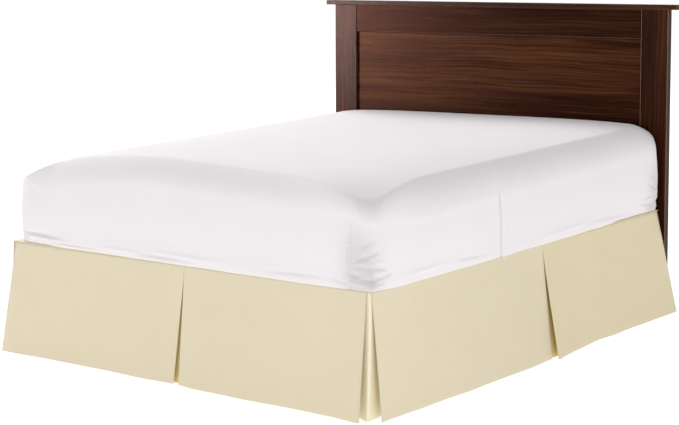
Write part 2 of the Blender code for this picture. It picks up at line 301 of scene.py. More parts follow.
# wood: what both kinds share
wood = {
    "bend": (1.6, 0.05),  # how often in a metre the grain wanders, and how far
    # layers of the grain, the finest last: length, detail, roughness and share in the tone
    "layers": {"streak": (0.55, 5.0, 0.60, 1.0), "band": (0.80, 2.0, 0.50, 0.9),
               "line": (0.35, 2.0, 0.50, 0.5), "fibre": (0.07, 3.0, 0.60, 0.3)},
    "tones": (0.28, 0.50, 0.76),
    "pores": (0.60, 7.0, 0.5),  # where they begin, how sharply, and how strong their colour is
    "scuffs": (24.0, 0.6, 0.8),  # how many in a metre, and how strong the painted edge highlight and shade are without and with them
    "bump": (0.35, 0.00020, 0.8),
    "dulled": (0.2, 0.06),  # by pores and by scuffs
}
walnut = {
    "dark": (0.014, 0.0030, 0.0010),
    "middle": (0.044, 0.0118, 0.0045),
    "light": (0.108, 0.0410, 0.0135),
    "pore": (0.008, 0.0020, 0.0008),
    # colour of the painted highlight along light edges
    "edgeHighlight": (0.230, 0.130, 0.090),
    "streak": 0.0070,  # width of the figure across the grain
    "band": 0.055,
    "line": 0.0030,
    "fibre": 0.0013,
    "roughness": 0.24,
    "gloss": 0.07,
    "edgeWidth": 0.0036,
}
legWood = {
    "dark": (0.022, 0.011, 0.006),
    "middle": (0.055, 0.032, 0.020),
    "light": (0.085, 0.052, 0.034),
    "pore": (0.016, 0.009, 0.006),
    # colour of the painted highlight along light edges
    "edgeHighlight": (0.140, 0.090, 0.060),
    "streak": 0.010,
    "band": 0.040,
    "line": 0.0035,
    "fibre": 0.0012,
    "roughness": 0.50,
    "gloss": 0.20,
    "edgeWidth": 0.0025,
}


# grain is "x" or "z"; edges: painted highlight (above 0) or painted shade with a dark joint (below 0) along
# the upright and the level edges
def woodFinish(node, look, grain, move, tone, edges, shine=(1.0, 1.0, 1.0)):
    low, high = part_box(node)
    finish = Finish(node + "_wood")
    spot = finish.placeFrom("Object")
    often, far = wood["bend"]
    bend = finish.noise(finish.stretched(spot, (often, often, often), move))
    bent = finish.node("ShaderNodeVectorMath", {"operation": "MULTIPLY_ADD"}, {
        0: finish.node("ShaderNodeCombineXYZ", {}, {0: bend, 1: bend, 2: bend}),
        1: (0.0, 0.0, far) if grain == "x" else (far, 0.0, 0.0),
        2: spot})
    tint = 0.5
    for key, (length, detail, roughness, share) in wood["layers"].items():
        across = 1 / look[key]
        scale = (1 / length, across, across) if grain == "x" else (across, across, 1 / length)
        fibres = finish.noise(finish.stretched(bent, scale, move), 1.0, detail, roughness)
        tint = (fibres - 0.5) * share + tint
    stops = list(zip(wood["tones"], (look["dark"], look["middle"], look["light"])))
    colour = finish.node("ShaderNodeValToRGB", {"stops": stops}, {0: tint.within(0.0, 1.0)})
    begins, sharply, strength = wood["pores"]
    pores = ((fibres - begins) * sharply).within(0.0, 1.0)
    colour = finish.mixColours(pores * strength, colour, look["pore"])
    # painted light: each piece's tone is partly the wood's own and partly light falling off from the left
    # across the headboard
    if tone != 1.0:
        colour = finish.mixColours(1.0, colour, (tone, tone, tone), "MULTIPLY")
    part = finish.parts(spot)
    front = finish.parts(finish.placeFrom("Normal")).out("Y").size()
    often, plain, added = wood["scuffs"]
    scuffs = finish.noise(finish.stretched(spot, (often, often, often)), 1.0, 3.0)
    # painted highlight along light edges, and painted shade with a dark joint along dark ones, only on
    # faces turned to the front
    for strength, place, axis in ((edges[0], part, 0), (edges[1], part.out("Z"), 2)):
        away = (place - low[axis]).size().least((high[axis] - place).size())
        paintedEdgeMask = (1 - away / look["edgeWidth"]).within(0.0, 1.0) * front * (plain + scuffs * added)
        paintedEdgeColour = look["edgeHighlight"] if strength > 0 else look["pore"]
        colour = finish.mixColours((paintedEdgeMask * abs(strength)).within(0.0, 1.0), colour, paintedEdgeColour)
    strength, height, depth = wood["bump"]
    bump = finish.node("ShaderNodeBump", {}, {
        "Strength": strength, "Distance": height, "Height": fibres - pores * depth})
    byPores, byScuffs = wood["dulled"]
    finish.set(Base_Color=colour, Roughness=look["roughness"] + pores * byPores + scuffs * byScuffs,
               Normal=bump, Specular_IOR_Level=look["gloss"], Specular_Tint=shine)
    return finish.material


cotton = wovenFinish("skirt_cotton_cloth", skirtCloth)
# one layer with nothing behind it: its lighter colour is painted light for the day that comes through
underlayCotton = wovenFinish("underlay_cotton_painted_light", {
    **skirtCloth, "colour": (0.960, 0.895, 0.690), "shade": (0.930, 0.860, 0.650)})
sheetCotton = wovenFinish("white_sheet_cloth", sheetCloth)
upholstery = wovenFinish("base_upholstery", baseCloth, onSurface=False)

# node: grain, where in the wood it was cut, tone (partly painted light falling off from the left), painted
# highlight (above 0) or painted shade of the upright and level edges, colour of the lacquer's shine
woodPieces = {
    "headboard_post_left": ("z", (3.1, 0.4, 0.0), 1.10, (-2.0, 0.2), (1.0, 0.60, 0.55)),
    "headboard_post_right": ("z", (7.7, 1.2, 0.5), 0.70, (1.6, 0.2), (1.0, 0.55, 0.45)),
    "headboard_cap": ("x", (0.0, 2.1, 4.2), 1.00, (0.2, 0.3), (1.0, 0.65, 0.55)),
    "headboard_top_rail": ("x", (1.3, 5.6, 0.3), 0.42, (-2.5, 0.7), (0.84, 0.27, 0.17)),
    "headboard_panel": ("x", (2.7, 0.9, 6.4), 0.86, (-2.0, -2.5), (1.0, 0.36, 0.21)),
    "headboard_low_rail": ("x", (4.1, 3.3, 1.8), 1.00, (-0.8, 0.4), (1.0, 0.46, 0.37)),
}
finishes = {"base": upholstery}
for node, settings in woodPieces.items():
    finishes[node] = woodFinish(node, walnut, *settings)
for row in (1, 2, 3):
    cut = (row * 2.3, row * 0.7, 0.0)
    for side in ("left", "right"):
        node = f"leg_{side}_{row}"
        finishes[node] = woodFinish(node, legWood, "z", cut, 1.0, (0.4, 0.4))
for node, finish in finishes.items():
    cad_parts[node].material_slots[0].material = finish
print("bed skirt: wood and base finished")

# skirt drops
drops = {
    "cloth": 0.0009,
    "hemCloth": 0.0013,  # the turned-up hem is two layers, pressed flat
    "hemHeight": 0.025,
    "hemStep": 0.006,  # height over which the cloth swells to its hem
    "foldRadius": 0.0016,
    "pleatDepth": 0.075,
    "pleatClosed": 0.0042,
    "stitchedPart": 0.09,  # share of the drop over which a pleat is sewn shut
    "creaseGrows": 0.5,  # share of the drop over which a crease grows to its depth
    "creaseEnds": 0.05,  # how far from a pleat the creases die out
    "rows": 44,
    "rowsInHem": 6,
    "panelStep": 0.012,
    "returnSteps": 8,
    "backSteps": 18,
    "turnSteps": 8,
}

# places along the bed's edge at the seam and at the hem, and how far the hem stands out there
footDrop = {
    "start": (-0.738, -0.777),
    "end": (0.732, 0.738),
    "pleat": (0.03, 0.012),
    "opening": 0.027,
    "back": 0.024,
    "paintedShade": (0.0, 0.0),  # how much painted warm fold shade the cloth gets left and right of the pleat
    "hemLeft": [(-0.777, 0.04), (-0.55, 0.03), (-0.33, 0.03), (-0.11, 0.034), (-0.002, 0.028)],
    "hemRight": [(0.026, 0.03), (0.1, 0.04), (0.3, 0.044), (0.47, 0.036), (0.61, 0.04),
                 (0.734, 0.05)],
    # soft troughs and ridges: place at the seam, place at the hem, width, depth, where they begin
    "creases": [
        (-0.6, -0.64, 0.045, 0.0016, 0.05), (-0.33, -0.3, 0.06, -0.0014, 0.2),
        (-0.12, -0.15, 0.035, 0.0012, 0.0), (0.19, 0.215, 0.04, -0.0012, 0.1),
        (0.45, 0.43, 0.055, 0.0016, 0.0), (0.64, 0.655, 0.03, -0.001, 0.3),
    ],
}
rightDrop = {
    "start": (-0.002, -0.003),
    "end": (1.89, 1.885),
    "pleat": (1.0, 0.958),
    "opening": 0.007,
    "back": 0.017,
    # painted warm shade on the panel right of the pleat
    "paintedShade": (0.0, 0.22),
    "hemLeft": [(0.0, 0.037), (0.25, 0.049), (0.51, 0.061), (0.8, 0.071), (0.955, 0.067)],
    "hemRight": [(0.962, 0.092), (1.02, 0.084), (1.11, 0.077), (1.25, 0.07), (1.45, 0.074),
                 (1.65, 0.081), (1.885, 0.09)],
    "creases": [
        (0.15, 0.14, 0.04, -0.0012, 0.1), (0.42, 0.445, 0.06, 0.0016, 0.0),
        (0.72, 0.7, 0.045, -0.0012, 0.2), (1.33, 1.3, 0.05, -0.004, 0.0),
        (1.44, 1.42, 0.055, 0.003, 0.0), (1.7, 1.69, 0.05, 0.0014, 0.2),
    ],
}
leftDrop = {
    "start": (0.001, 0.001),
    "end": (1.89, 1.885),
    "pleat": (0.95, 0.95),
    "opening": 0.02,
    "back": 0.02,
    "paintedShade": (0.0, 0.0),
    "hemLeft": [(0.0, 0.028), (0.3, 0.036), (0.6, 0.047), (0.94, 0.05)],
    "hemRight": [(0.96, 0.056), (1.1, 0.052), (1.35, 0.055), (1.6, 0.07), (1.885, 0.092)],
    "creases": [
        (0.18, 0.2, 0.05, 0.0014, 0.0), (0.5, 0.48, 0.06, -0.0016, 0.1),
        (0.78, 0.8, 0.04, 0.0012, 0.2), (1.2, 1.17, 0.06, -0.002, 0.0),
        (1.48, 1.5, 0.05, 0.0018, 0.1), (1.75, 1.76, 0.04, -0.0012, 0.2),
    ],
}


def halfTurn(along, startOut, endOut, bulge, fold):
    middle = (startOut + endOut) / 2
    radius = (startOut - endOut) / 2
    points = []
    for angle in evenSteps(0, pi, drops["turnSteps"])[1:-1]:
        turned = along + bulge * abs(radius) * sin(angle)
        points.append((turned, middle + radius * cos(angle), fold))
    return points


# plan points (along, out, how much painted fold shade) of a drop's cloth; fall is 0 at the seam and 1 at
# the hem
def pleatedPath(drop, fall):
    start, end, pleat = (blend(*drop[key], fall) for key in ("start", "end", "pleat"))
    opened = max(0.0, fall - drops["stitchedPart"]) / (1 - drops["stitchedPart"])
    gap = blend(drops["pleatClosed"], max(drop["opening"], drops["pleatClosed"]), opened)
    leftEdge = pleat - gap / 2
    rightEdge = pleat + gap / 2
    layer = 2 * drops["foldRadius"]

    def crease(along):
        total = 0.0
        for atSeam, atHem, width, depth, begins in drop["creases"]:
            grown = soft((fall - begins) / drops["creaseGrows"])
            total += depth * grown * bell(along - blend(atSeam, atHem, fall), width)
        near = min(abs(along - leftEdge), abs(along - rightEdge))
        return total * soft(near / drops["creaseEnds"])

    def plainOut(hem, along):
        return fall * readTable(drop[hem], along)

    def outLeft(along):
        return plainOut("hemLeft", along) + crease(along)

    def outRight(along):
        return plainOut("hemRight", along) + crease(along)

    backLeft = leftEdge - drops["pleatDepth"]
    backRight = rightEdge + drops["pleatDepth"]
    behind = 2 * layer + fall * max(0.0, drop["back"] - 2 * layer)
    plainLeft = plainOut("hemLeft", backLeft)
    plainRight = plainOut("hemRight", backRight)

    def outBack(along):
        return blend(plainLeft, plainRight, (along - backLeft) / (backRight - backLeft)) - behind

    leftSteps = round((drop["pleat"][0] - drop["start"][0]) / drops["panelStep"])
    rightSteps = round((drop["end"][0] - drop["pleat"][0]) / drops["panelStep"])
    shares = evenSteps(0, 1, drops["returnSteps"])
    shadeLeft, shadeRight = drop["paintedShade"]
    path = [(a, outLeft(a), shadeLeft) for a in evenSteps(start, leftEdge, leftSteps)]
    front, rear = outLeft(leftEdge) - layer, outBack(backLeft) + layer
    path += halfTurn(leftEdge, outLeft(leftEdge), front, 1, 0.5)
    path += [(blend(leftEdge, backLeft, s), blend(front, rear, s), 1.0) for s in shares]
    path += halfTurn(backLeft, rear, outBack(backLeft), -1, 1.0)
    path += [(a, outBack(a), 1.0) for a in evenSteps(backLeft, backRight, drops["backSteps"])]
    front, rear = outRight(rightEdge) - layer, outBack(backRight) + layer
    path += halfTurn(backRight, outBack(backRight), rear, 1, 1.0)
    path += [(blend(backRight, rightEdge, s), blend(rear, front, s), 1.0) for s in shares]
    path += halfTurn(rightEdge, front, outRight(rightEdge), -1, 0.5)
    path += [(a, outRight(a), shadeRight) for a in evenSteps(rightEdge, end, rightSteps)]
    return path


def placeFoot(along, out, height):
    return Vector((along, bed["footY"] - out, height))


def placeRight(along, out, height, side=1):
    return Vector((side * (bed["halfWidth"] + out), bed["footY"] + along, height))


def placeLeft(along, out, height):
    return placeRight(along, out, height, -1)


# a mesh whose UV is the flat cloth in metres, with a layer for how much painted fold shade a point gets
def clothMesh():
    bm = bmesh.new()
    flat = bm.loops.layers.uv.new("cloth")
    fold = bm.verts.layers.float.new("fold")

    def addPoint(place, depth=0.0):
        vert = bm.verts.new(place)
        vert[fold] = depth
        return vert

    def addFace(verts, places):
        face = bm.faces.new(verts)
        for loop, place in zip(face.loops, places):
            loop[flat].uv = place

    return bm, addPoint, addFace


# a grid of points made into one cloth with a thicker hem
def clothFromGrid(name, rows, folds, hemRows, cloth, hemCloth, flip=False, finish=cotton):
    columns = len(rows[0])
    widths = [0.0]
    for before, after in zip(rows[0], rows[0][1:]):
        widths.append(widths[-1] + (after - before).length)
    falls = [0.0]
    plain = columns // 4
    for above, below in zip(rows, rows[1:]):
        falls.append(falls[-1] + (below[plain] - above[plain]).length)
    bm, addPoint, addFace = clothMesh()
    verts = [[addPoint(point, depth) for point, depth in zip(row, folds)] for row in rows]
    for r in range(len(rows) - 1):
        for c in range(columns - 1):
            corners = [(r, c), (r + 1, c), (r + 1, c + 1), (r, c + 1)]
            if flip:
                corners.reverse()
            places = [(widths[j], falls[-1] - falls[i]) for i, j in corners]
            addFace([verts[i][j] for i, j in corners], places)
    piece = newPiece(name, bm, finish)
    group = piece.vertex_groups.new(name="hem")
    group.add([r * columns + c for r in hemRows for c in range(columns)], 1.0, "REPLACE")
    shell = piece.modifiers.new("cloth", "SOLIDIFY")
    shell.thickness = hemCloth
    shell.offset = 0
    shell.use_even_offset = True
    shell.vertex_group = "hem"
    shell.thickness_vertex_group = cloth / hemCloth
    bpy.ops.object.select_all(action="DESELECT")
    bpy.context.view_layer.objects.active = piece
    bpy.ops.object.modifier_apply(modifier=shell.name)
    return piece


# heights from the seam down, with a close pair of rows at the top of the hem
def dropFalls(top, bottom, rows):
    length = top - bottom
    hemShare = 1 - drops["hemHeight"] / length
    step = drops["hemStep"] / 2 / length
    return evenSteps(0, hemShare - step, rows) + evenSteps(hemShare + step, 1, drops["rowsInHem"])


# a cloth that hangs from the deck's edge; pointsAt gives a row of it from the share of its fall
def hangCloth(node, flat, hemZ, rowCount, pointsAt, folds, flip, finish=cotton):
    falls = dropFalls(bed["seamZ"], hemZ, rowCount)
    heights = [blend(bed["seamZ"], hemZ, fall) for fall in falls]
    rows = [pointsAt(fall, height) for fall, height in zip(falls, heights)]
    hemRows = [i for i, height in enumerate(heights) if height < hemZ + drops["hemHeight"]]
    cloth = (drops["cloth"], drops["hemCloth"])
    piece = clothFromGrid(node + "_cloth", rows, folds, hemRows, *cloth, flip, finish)
    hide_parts(node)


def makeDrop(node, drop, place, flip):
    def pointsAt(fall, height):
        return [place(along, out, height) for along, out, _ in pleatedPath(drop, fall)]

    folds = [fold for _, _, fold in pleatedPath(drop, 1.0)]
    width = drop["end"][0] - drop["start"][0] + 4 * drops["pleatDepth"]
    flat = (width, bed["seamZ"] - bed["hemZ"])
    hangCloth(node, flat, bed["hemZ"], drops["rows"], pointsAt, folds, flip)


makeDrop("foot_drop", footDrop, placeFoot, False)
makeDrop("side_drop_right", rightDrop, placeRight, False)
makeDrop("side_drop_left", leftDrop, placeLeft, True)
print("bed skirt: three drops hung")

# corner underlays
underlays = {
    "reach": 0.120,
    "setBack": 0.0032,
    "hemZ": 0.007,
    "rows": 32,
    "steps": 12,
    "smoothing": 4,
    "bends": (0.043, 0.040),
    "footSide": 0.006,
    "longSide": 0.000,
    # painted warm fold shade over the whole underlay
    "paintedShade": 0.10,
    "flat": (0.250, 0.377),
    "corners": [("corner_underlay_right", 1, (0.007, 0.033)), ("corner_underlay_left", -1, (0.007, 0.020))],
}


def roundedLine(corners, steps, smoothing):
    points = []
    for (xA, yA), (xB, yB) in zip(corners, corners[1:]):
        points += [(blend(xA, xB, s), blend(yA, yB, s)) for s in evenSteps(0, 1, steps, False)]
    points.append(corners[-1])
    for _ in range(smoothing):
        inner = []
        for before, here, after in zip(points, points[1:], points[2:]):
            inner.append(tuple((a + 2 * b + c) / 4 for a, b, c in zip(before, here, after)))
        points = [points[0]] + inner + [points[-1]]
    return points


def underlayPath(ridge, fall):
    back = -underlays["setBack"]
    footOut = blend(back, underlays["footSide"], fall)
    sideOut = blend(back, underlays["longSide"], fall)
    top = (blend(back, ridge[0], fall), blend(back, ridge[1], fall))
    corners = [(-underlays["reach"], footOut), (-underlays["bends"][0], footOut), top,
               (sideOut, -underlays["bends"][1]), (sideOut, -underlays["reach"])]
    return roundedLine(corners, underlays["steps"], underlays["smoothing"])


def makeUnderlay(node, side, ridge):
    def pointsAt(fall, height):
        return [placeRight(-y, x, height, side) for x, y in underlayPath(ridge, fall)]

    folds = [underlays["paintedShade"]] * len(underlayPath(ridge, 0))
    hangCloth(node, underlays["flat"], underlays["hemZ"], underlays["rows"], pointsAt, folds, side < 0,
              underlayCotton)


for settings in underlays["corners"]:
    makeUnderlay(*settings)
print("bed skirt: corner underlays hung")

# deck
deck = {
    "edge": 0.7508,  # where the flat cloth begins to turn down over the drops
    "turn": 0.0016,
    "lip": 0.0010,
    "turnSteps": 6,
    "headSide": 0.0025,  # how far it stops before the mattress's head
    "cloth": 0.0009,
    "flat": (1.505, 1.900),
    "fine": 0.010,
    "coarse": 0.060,
    "fineReach": 0.120,
}


# how far out and how far down the deck's cloth is, past the line where it turns
def lipPoints():
    points = []
    for angle in evenSteps(0, pi / 2, deck["turnSteps"])[1:]:
        points.append((deck["turn"] * sin(angle), deck["turn"] * (1 - cos(angle))))
    return points + [(deck["turn"], deck["turn"] + deck["lip"])]


lip = lipPoints()
flatX = stepsFineAtEnds(-deck["edge"], deck["edge"], deck["fine"], deck["coarse"], deck["fineReach"])
lineX = [(-deck["edge"] - out, down) for out, down in reversed(lip)] + [(x, 0.0) for x in flatX]
lineX += [(deck["edge"] + out, down) for out, down in lip]
footEdge = bed["footY"] - (deck["edge"] - bed["halfWidth"])
headEdge = bed["footY"] + bed["length"] - deck["headSide"]
flatY = stepsFineAtEnds(footEdge, headEdge, deck["fine"], deck["coarse"], deck["fineReach"])
lineY = [(footEdge - out, down) for out, down in reversed(lip)] + [(y, 0.0) for y in flatY]
deckZ = bed["deckTop"] - deck["cloth"] / 2
rows = [[Vector((x, y, deckZ - max(downX, downY))) for x, downX in lineX]
        for y, downY in reversed(lineY)]
deckPiece = clothFromGrid("deck_cloth", rows, [0.0] * len(lineX), [], deck["cloth"], deck["cloth"])
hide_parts("deck")
print("bed skirt: deck laid")

# mattress in its sheet
mattress = {
    "leftRim": (0.6286, 0.6910),  # height of the top's edge at foot and head
    "rightRim": (0.6515, 0.7059),
    # how far the middle stands above the edges, at foot and head
    "crown": (0.0478, 0.0172),
    "crownPower": 5.0,  # more keeps the middle level for longer
    # how far the sheet pulls the foot's left and right corner down, and its reach
    "cornerSag": ((0.043, 0.140), (0.028, 0.150)),
    "sagPower": 1.9,
    # how high the foot's edge is drawn up, at which place, and how widely across and along
    "footRise": (0.026, -0.143, 0.339, 0.193),
    # how far in and down the top rolls over each side
    "rolls": {"foot": (0.060, 0.100), "right": (0.066, 0.112), "head": (0.040, 0.050),
              "left": (0.066, 0.112)},
    # share of the roll left at those corners, and the way over which it comes back
    "rollKept": ((0.05, 0.115), (0.60, 0.260)),
    "rollFrom": 0.040,
    "rollPower": 1.5,  # 1 rolls over in an ellipse, more begins it with an edge
    # how much softer it begins there, and the reach of that
    "rollEase": (0.60, 0.320),
    # plan radius low on the side, and where the roll meets the top
    "footCorners": [(0.082, 0.089), (0.055, 0.089)],
    "headCorner": (0.030, 0.045),
    "bulge": 0.006,
    "lowEdge": 0.005,
    "sideHeight": 0.29,
    # how far the sheet hangs past the deck's edge: place along the side, depth
    "hang": {"foot": [(-0.66, 0.0), (-0.42, 0.002), (0.00, 0.003), (0.56, 0.005), (0.72, 0.003)],
             "right": [(0.03, 0.003), (0.12, 0.007), (0.45, 0.007), (1.00, 0.006), (1.40, 0.003),
                       (1.60, 0.0)],
             "head": [(0.0, 0.0)],
             "left": [(0.10, 0.0), (0.25, 0.003), (1.60, 0.003), (1.80, 0.0)]},
    # rows of its low edge, from the inside: how far out, and how far up from its lowest line
    "hangRows": [(0.0041, 0.0), (0.0044, 0.0015), (0.0048, 0.0004), (0.0056, 0.0), (0.0064, 0.0004),
                 (0.0068, 0.0015)],
    "hangStep": 0.0015,  # depth over which it comes out, and again turns down
    "flare": 0.045,  # height over which the side runs in from that edge
    "arcSteps": 18,  # in half a corner
    "sideSteps": 54,
    "rollSteps": 20,
    # places along foot and right side: first, last, fine step, coarse step, fine reach
    "footLine": (-0.66, 0.66, 0.005, 0.022, 0.080),
    "rightLine": [(0.085, 0.690, 0.005, 0.022, 0.070), (0.810, 1.870, 0.008, 0.024, 0.060)],
    "creaseStep": 0.0026,  # between those two, at the packing creases
}

# the sheet's waves, folds and seams
sheet = {
    "phase": {"foot": 0.3, "right": 1.9, "left": 4.4},
    # waves along a side: how high, how fast, and for two the height and width of their belt
    "broadWave": (0.0012, 13.0),
    "smallWave": (0.0007, 29.0, 0.46, 0.1),
    "ripple": (0.0008, 140.0, 0.392, 0.014),
    "rippleShift": (2.6, 33.0),  # how much and how fast its waves shift
    "rippleSwell": 21.0,
    "seamShift": 0.06,  # how far before the foot's right corner its seam stands
    "seamLine": (-0.0012, 0.005),
    "gathers": (0.0007, 0.004, 0.014),
    "gatherWaves": (420.0, 95.0, 61.0),  # how fast they run up the seam, shift and swell
    # painted shade beside a corner's seam: how much, place and width, height and way of its end
    "paintedCornerShade": (0.85, 0.03, 0.06, 0.48, 0.13),
    "creasesEnd": (0.56, 0.07),  # height where seams and creases begin to die out, and the way
    "fullShade": 0.006,  # depth at which a fold's painted shade is full
    # long shallow folds beside the hem: start, end, height at each, width, depth
    "hemFolds": {
        "foot": [
            (-0.73, -0.5, 0.424, 0.416, 0.006, -0.0044), (-0.73, -0.46, 0.412, 0.404, 0.0055, 0.004),
            (-0.66, -0.28, 0.402, 0.396, 0.0035, -0.0032), (-0.34, -0.14, 0.408, 0.402, 0.004, 0.003),
            (-0.2, 0.08, 0.402, 0.398, 0.0038, -0.0036), (-0.12, 0.22, 0.414, 0.408, 0.006, 0.0024),
            (0.34, 0.6, 0.404, 0.41, 0.005, -0.0024),
        ],
        "right": [
            (0.16, 0.4, 0.404, 0.412, 0.005, 0.002), (0.42, 0.66, 0.412, 0.402, 0.0055, -0.0022),
            (0.95, 1.35, 0.404, 0.416, 0.006, 0.0018), (1.3, 1.7, 0.416, 0.402, 0.006, -0.002),
        ],
        "left": [
            (0.2, 0.6, 0.404, 0.42, 0.006, 0.0026), (0.8, 1.25, 0.42, 0.402, 0.006, -0.0026),
            (1.3, 1.75, 0.404, 0.416, 0.006, 0.0026),
        ],
    },
    # upright creases from the sheet's packing: place, lean, width, depth
    "creases": {
        "foot": [(0.02, 0.002, 0.012, 0.0008)],
        "right": [(0.72, 0.006, 0.005, -0.0046), (0.738, 0.006, 0.01, 0.0036), (0.775, 0.0, 0.016, 0.0016)],
        "left": [(0.9, 0.003, 0.009, 0.003)],
    },
    # puckers beside a corner's seam: (past the seam, height) of both ends, width, depth
    "puckers": [
        ((0.004, 0.426), (0.066, 0.411), 0.0055, -0.0032),
        ((0.07, 0.416), (0.135, 0.424), 0.006, -0.00256),
        ((0.012, 0.441), (0.096, 0.437), 0.007, 0.00208),
        ((0.03, 0.474), (0.078, 0.492), 0.0055, -0.00224),
        ((0.014, 0.458), (0.052, 0.466), 0.005, 0.00176),
        ((0.006, 0.404), (0.05, 0.399), 0.0045, 0.0024),
        ((0.052, 0.4), (0.1, 0.404), 0.0045, -0.00176),
        ((0.04, 0.512), (0.066, 0.528), 0.006, -0.00128),
        ((0.022, 0.416), (0.058, 0.43), 0.006, 0.00192),
        ((0.078, 0.448), (0.112, 0.44), 0.006, -0.0016),
        ((0.048, 0.455), (0.09, 0.466), 0.006, 0.00144),
        ((-0.018, 0.4), (-0.06, 0.408), 0.005, -0.00192),
        ((-0.012, 0.436), (-0.014, 0.505), 0.005, -0.00144),
        ((-0.026, 0.452), (-0.03, 0.56), 0.0065, 0.00128),
    ],
    "topWave": (0.001, 9.0, 7.0),
    # how far the top's flat part reaches: to the sides, foot and head, and its soft edge
    "topEnds": (0.63, -0.815, 0.91, 0.1),
    # shallow dents on the top: start, end, width, depth
    "topDents": [
        ((0.3, -0.8), (-0.1, -0.62), 0.05, -0.003), ((0.45, -0.62), (0.1, -0.4), 0.06, -0.0026),
        ((0.58, -0.35), (0.3, -0.05), 0.06, 0.0024), ((-0.35, -0.75), (-0.6, -0.5), 0.06, 0.0024),
        ((-0.2, -0.2), (-0.55, 0.2), 0.08, -0.0026), ((0.4, 0.25), (0.05, 0.45), 0.08, -0.0024),
    ],
}
underZ = bed["deckTop"] + bed["gap"]
headLimit = bed["footY"] + bed["length"] - bed["gap"]


def mattressTop(x, y):
    along = y - bed["footY"]
    share = along / bed["length"]
    side = x / bed["halfWidth"]
    rim = blend(blend(*mattress["leftRim"], share), blend(*mattress["rightRim"], share), (side + 1) / 2)
    dome = max(0.0, 1 - abs(side) ** mattress["crownPower"])
    height = rim + dome * blend(*mattress["crown"], soft(share))
    for sign, (sag, reach) in zip((-1, 1), mattress["cornerSag"]):
        away = hypot(x - sign * bed["halfWidth"], along)
        height -= sag * exp(-(away / reach) ** mattress["sagPower"])
    rise, middle, width, reach = mattress["footRise"]
    return height + rise * bell(x - middle, width) * bell(along, reach)


# the four sides in order: name, the signs of the corner each ends at, and the angle it faces
mattressSides = [("foot", (-1, -1), (1, -1), 270), ("right", (1, -1), (1, 1), 360),
                 ("head", (1, 1), (-1, 1), 450), ("left", (-1, 1), (-1, -1), 540)]


def sharesOf(line):
    return [(place - line[0]) / (line[-1] - line[0]) for place in line]


footShares = sharesOf(stepsFineAtEnds(*mattress["footLine"]))
footward, headward = mattress["rightLine"]
creaseSteps = round((headward[0] - footward[1]) / mattress["creaseStep"])
creased = evenSteps(footward[1], headward[0], creaseSteps, False)
rightShares = sharesOf(stepsFineAtEnds(*footward)[:-1] + creased + stepsFineAtEnds(*headward))


# how far down the top rolls over where the mattress faces an angle in degrees
def rollHeight(angle):
    place = (angle - mattressSides[0][3]) / 90
    before = int(place // 1)
    names = [mattressSides[i % 4][0] for i in (before, before + 1)]
    return blend(*(mattress["rolls"][name][1] for name in names), soft(place - before))


# plan points of a mattress whose corners roll over as widely as its sides
def plainOutline(rolled, inset):
    rolls = mattress["rolls"]
    half = bed["halfWidth"] - inset - rolled * rolls["right"][0]
    foot = bed["footY"] + bed["gap"] + inset + rolled * rolls["foot"][0]
    head = headLimit - inset - rolled * rolls["head"][0]

    def cornerPoint(sign, angle):
        radii = mattress["footCorners"][0 if sign[0] < 0 else 1] if sign[1] < 0 else mattress["headCorner"]
        radius = max(blend(*radii, rolled) - inset, bed["gap"])
        turned = radians(angle)
        facing = (cos(turned), sin(turned))
        x = sign[0] * (half - radius) + radius * facing[0]
        y = (foot + radius if sign[1] < 0 else head - radius) + radius * facing[1]
        return (x, y, facing, rollHeight(angle))

    outline = []
    steps = mattress["arcSteps"]
    for name, before, after, angle in mattressSides:
        shares = footShares if name in ("foot", "head") else rightShares
        if name in ("head", "left"):
            shares = [1 - s for s in reversed(shares)]
        first = [cornerPoint(before, a) for a in evenSteps(angle - 45, angle, steps)]
        last = [cornerPoint(after, a) for a in evenSteps(angle, angle + 45, steps)]
        (xA, yA, facing, roll), (xB, yB, _, _) = first[-1], last[0]
        line = [(blend(xA, xB, s), blend(yA, yB, s), facing, roll) for s in shares[1:-1]]
        outline += [(x, y, way, name, height) for x, y, way, height in first + line + last[:-1]]
    return outline


# plan points of the mattress: (x, y, the way it faces, side, height of the roll); rolled is the share
# of the way over the roll, from the side to the top
def mattressOutline(rolled, inset):
    outline = []
    low, high = plainOutline(0, inset), plainOutline(1, inset)
    for (x, y, facing, side, roll), (xTop, yTop, _, _, _) in zip(low, high):
        away = hypot(bed["halfWidth"] - abs(x), y - bed["footY"])
        least, comesBack = mattress["rollKept"][0 if x < 0 else 1]
        kept = blend(least, 1, soft((away - mattress["rollFrom"]) / comesBack))
        ease, reach = mattress["rollEase"]
        over = kept * (1 - (1 - rolled) ** blend(ease, 1, soft(away / reach)))
        outline.append((blend(x, xTop, over), blend(y, yTop, over), facing, side, roll * kept))
    return outline


# rows of (rolled, inset, share of the side's height, height over the underside, tilt)
def mattressRings():
    low = mattress["lowEdge"]
    rings = []
    for angle in evenSteps(0, pi / 2, len(mattress["hangRows"]) - 1):
        rings.append((0, low * (1 - sin(angle)), 0, low * (1 - cos(angle)), angle - pi / 2))
    for share in evenSteps(0, 1, mattress["sideSteps"])[1:-1]:
        rings.append((0, -mattress["bulge"] * sin(pi * share), share, 0, 0))
    for angle in evenSteps(0, pi / 2, mattress["rollSteps"]):
        rings.append((1 - max(0.0, cos(angle)) ** mattress["rollPower"], 0, 1, 0, angle))
    return rings


# the distance of a place from a line between two places
def lineDistance(place, first, last):
    line = Vector(last) - Vector(first)
    away = Vector(place) - Vector(first)
    share = min(1.0, max(0.0, away.dot(line) / line.length_squared))
    return (away - line * share).length
